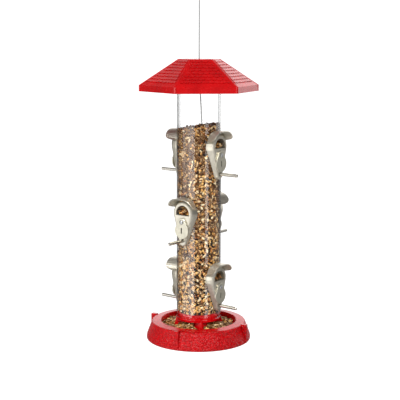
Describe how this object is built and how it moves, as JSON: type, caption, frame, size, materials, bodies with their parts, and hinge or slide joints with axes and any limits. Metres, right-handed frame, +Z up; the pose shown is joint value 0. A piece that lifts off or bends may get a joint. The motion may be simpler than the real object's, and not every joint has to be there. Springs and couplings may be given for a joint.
{
  "type": "hanging tube bird feeder",
  "caption": "Clear seed tube under a six-sided shingled roof, with hooded metal-look ports, swinging thistle flaps, perches and a round red tray, hanging from a steel cable.",
  "frame": {"origin": "inside of the top of the hanging loop, where a hook holds it", "axes": "+Z up along the tube's axis; +X and -X face the ports of the top and bottom levels, -Y and +Y those of the middle level"},
  "size_m": [0.1616, 0.1616, 0.5253],
  "materials": {
    "roof_red": "glossy moulded red",
    "tray_red": "moulded red with a pebbled outer wall",
    "clear_plastic": "clear",
    "port_pewter": "satin metal-look",
    "flap_pewter": "satin metal-look",
    "bright_steel": "bright",
    "perch_steel": "polished",
    "cable_steel": "stranded",
    "mixed_seed": "loose mixed seed"
  },
  "bodies": {
    "feeder": {"seed_tube": "clear_plastic", "base_tray": "tray_red", "tube_hub": "roof_red", "hub_screw_1": "bright_steel", "hub_screw_2": "bright_steel", "hub_screw_3": "bright_steel", "hub_screw_4": "bright_steel", "top_right_port": "port_pewter", "top_right_rivet": "bright_steel", "top_left_port": "port_pewter", "top_left_rivet": "bright_steel", "middle_front_port": "port_pewter", "middle_front_rivet": "bright_steel", "middle_back_port": "port_pewter", "middle_back_rivet": "bright_steel", "bottom_right_port": "port_pewter", "bottom_right_rivet": "bright_steel", "bottom_left_port": "port_pewter", "bottom_left_rivet": "bright_steel", "top_perch": "perch_steel", "middle_perch": "perch_steel", "bottom_perch": "perch_steel", "hanging_cable": "cable_steel", "hang_loop": "cable_steel", "cable_ferrule": "bright_steel", "cable_stop": "bright_steel", "tube_seed": "mixed_seed", "tray_seed": "mixed_seed"},
    "roof": {"roof": "roof_red"},
    "top_right_flap": {"top_right_flap": "flap_pewter"},
    "top_left_flap": {"top_left_flap": "flap_pewter"},
    "middle_front_flap": {"middle_front_flap": "flap_pewter"},
    "middle_back_flap": {"middle_back_flap": "flap_pewter"},
    "bottom_right_flap": {"bottom_right_flap": "flap_pewter"},
    "bottom_left_flap": {"bottom_left_flap": "flap_pewter"}
  },
  "joints": [
    {"name": "roof_lift", "type": "slide", "parent": "feeder", "child": "roof", "axis": [0, 0, 1], "range_m": [0, 0.08]},
    {"name": "top_right_flap_turn", "type": "hinge", "parent": "feeder", "child": "top_right_flap", "pos_m": [0.0372, 0, -0.2607], "axis": [1, 0, 0], "range_deg": [0, 180]},
    {"name": "top_left_flap_turn", "type": "hinge", "parent": "feeder", "child": "top_left_flap", "pos_m": [-0.0372, 0, -0.2607], "axis": [-1, 0, 0], "range_deg": [0, 180]},
    {"name": "middle_front_flap_turn", "type": "hinge", "parent": "feeder", "child": "middle_front_flap", "pos_m": [0, -0.0372, -0.3528], "axis": [0, -1, 0], "range_deg": [0, 180]},
    {"name": "middle_back_flap_turn", "type": "hinge", "parent": "feeder", "child": "middle_back_flap", "pos_m": [0, 0.0372, -0.3528], "axis": [0, 1, 0], "range_deg": [0, 180]},
    {"name": "bottom_right_flap_turn", "type": "hinge", "parent": "feeder", "child": "bottom_right_flap", "pos_m": [0.0372, 0, -0.4457], "axis": [1, 0, 0], "range_deg": [0, 180]},
    {"name": "bottom_left_flap_turn", "type": "hinge", "parent": "feeder", "child": "bottom_left_flap", "pos_m": [-0.0372, 0, -0.4457], "axis": [-1, 0, 0], "range_deg": [0, 180]}
  ]
}
